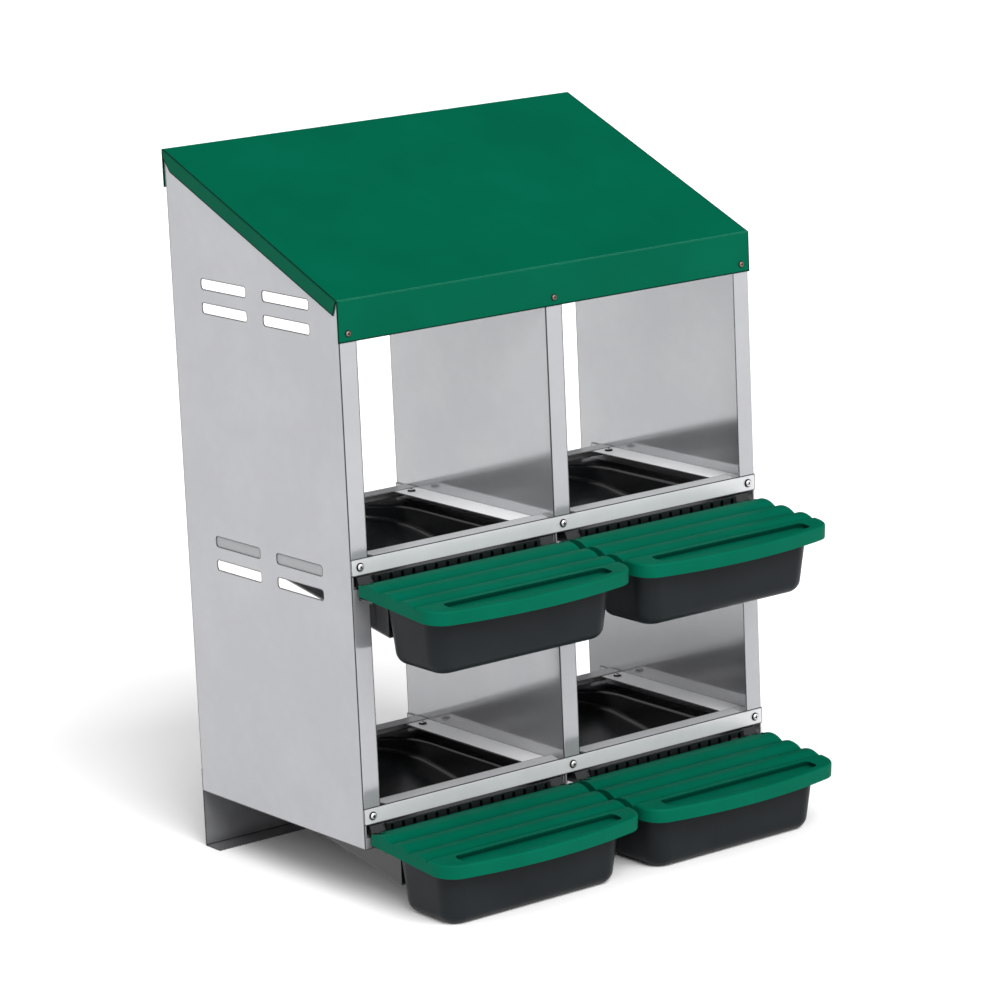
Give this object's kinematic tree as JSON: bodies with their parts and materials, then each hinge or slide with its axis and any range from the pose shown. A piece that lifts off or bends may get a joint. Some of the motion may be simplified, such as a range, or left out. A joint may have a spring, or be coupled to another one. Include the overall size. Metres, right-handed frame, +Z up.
{
  "type": "chicken nesting box",
  "caption": "Sheet metal nesting box for hens with open compartments under a sloped roof, slide-out moulded nest pans and hinged lids over egg collecting trays.",
  "frame": {"origin": "on the floor, in the middle of the outer box", "axes": "+X to the right seen from the front, +Y towards the back, +Z up"},
  "size_m": [0.6026, 0.507, 0.8501],
  "materials": {
    "galvanised_steel": "satin zinc coated sheet",
    "green_painted_steel": "satin powder coat",
    "green_plastic": "semi gloss moulded",
    "black_plastic": "satin moulded",
    "zinc_plated_steel": "bright zinc",
    "plated_roof_screw": "yellow passivated"
  },
  "bodies": {
    "frame": {"centre_partition": "galvanised_steel", "front_rail_nuts": "zinc_plated_steel", "front_rail_screws": "zinc_plated_steel", "left_side_panel": "galvanised_steel", "lower_front_rail": "galvanised_steel", "lower_left_inner_runner": "galvanised_steel", "lower_left_outer_runner": "galvanised_steel", "lower_left_rear_rail": "galvanised_steel", "lower_right_inner_runner": "galvanised_steel", "lower_right_outer_runner": "galvanised_steel", "lower_right_rear_rail": "galvanised_steel", "rear_foot": "galvanised_steel", "rear_top_rail": "galvanised_steel", "right_side_panel": "galvanised_steel", "roof_cover": "green_painted_steel", "roof_nuts": "zinc_plated_steel", "roof_screws": "plated_roof_screw", "runner_nuts": "zinc_plated_steel", "runner_screws": "zinc_plated_steel", "upper_front_rail": "galvanised_steel", "upper_left_inner_runner": "galvanised_steel", "upper_left_outer_runner": "galvanised_steel", "upper_left_rear_rail": "galvanised_steel", "upper_right_inner_runner": "galvanised_steel", "upper_right_outer_runner": "galvanised_steel", "upper_right_rear_rail": "galvanised_steel"},
    "upper_left_nest": {"upper_left_nest_pan": "black_plastic", "upper_left_egg_tray": "black_plastic"},
    "upper_left_lid": {"upper_left_egg_lid": "green_plastic"},
    "upper_right_nest": {"upper_right_nest_pan": "black_plastic", "upper_right_egg_tray": "black_plastic"},
    "upper_right_lid": {"upper_right_egg_lid": "green_plastic"},
    "lower_left_nest": {"lower_left_nest_pan": "black_plastic", "lower_left_egg_tray": "black_plastic"},
    "lower_left_lid": {"lower_left_egg_lid": "green_plastic"},
    "lower_right_nest": {"lower_right_nest_pan": "black_plastic", "lower_right_egg_tray": "black_plastic"},
    "lower_right_lid": {"lower_right_egg_lid": "green_plastic"}
  },
  "joints": [
    {"name": "upper_left_nest_slide", "type": "slide", "parent": "frame", "child": "upper_left_nest", "axis": [0, -1, 0], "range_m": [0, 0.25]},
    {"name": "upper_right_nest_slide", "type": "slide", "parent": "frame", "child": "upper_right_nest", "axis": [0, -1, 0], "range_m": [0, 0.25]},
    {"name": "lower_left_nest_slide", "type": "slide", "parent": "frame", "child": "lower_left_nest", "axis": [0, -1, 0], "range_m": [0, 0.25]},
    {"name": "lower_right_nest_slide", "type": "slide", "parent": "frame", "child": "lower_right_nest", "axis": [0, -1, 0], "range_m": [0, 0.25]},
    {"name": "upper_left_lid_hinge", "type": "hinge", "parent": "upper_left_nest", "child": "upper_left_lid", "pos_m": [-0.1535, -0.10497, 0.377], "axis": [-1, 0, 0], "range_deg": [0, 97]},
    {"name": "upper_right_lid_hinge", "type": "hinge", "parent": "upper_right_nest", "child": "upper_right_lid", "pos_m": [0.146, -0.10497, 0.377], "axis": [-1, 0, 0], "range_deg": [0, 97]},
    {"name": "lower_left_lid_hinge", "type": "hinge", "parent": "lower_left_nest", "child": "lower_left_lid", "pos_m": [-0.1535, -0.10497, 0.084], "axis": [-1, 0, 0], "range_deg": [0, 97]},
    {"name": "lower_right_lid_hinge", "type": "hinge", "parent": "lower_right_nest", "child": "lower_right_lid", "pos_m": [0.146, -0.10497, 0.084], "axis": [-1, 0, 0], "range_deg": [0, 97]}
  ]
}
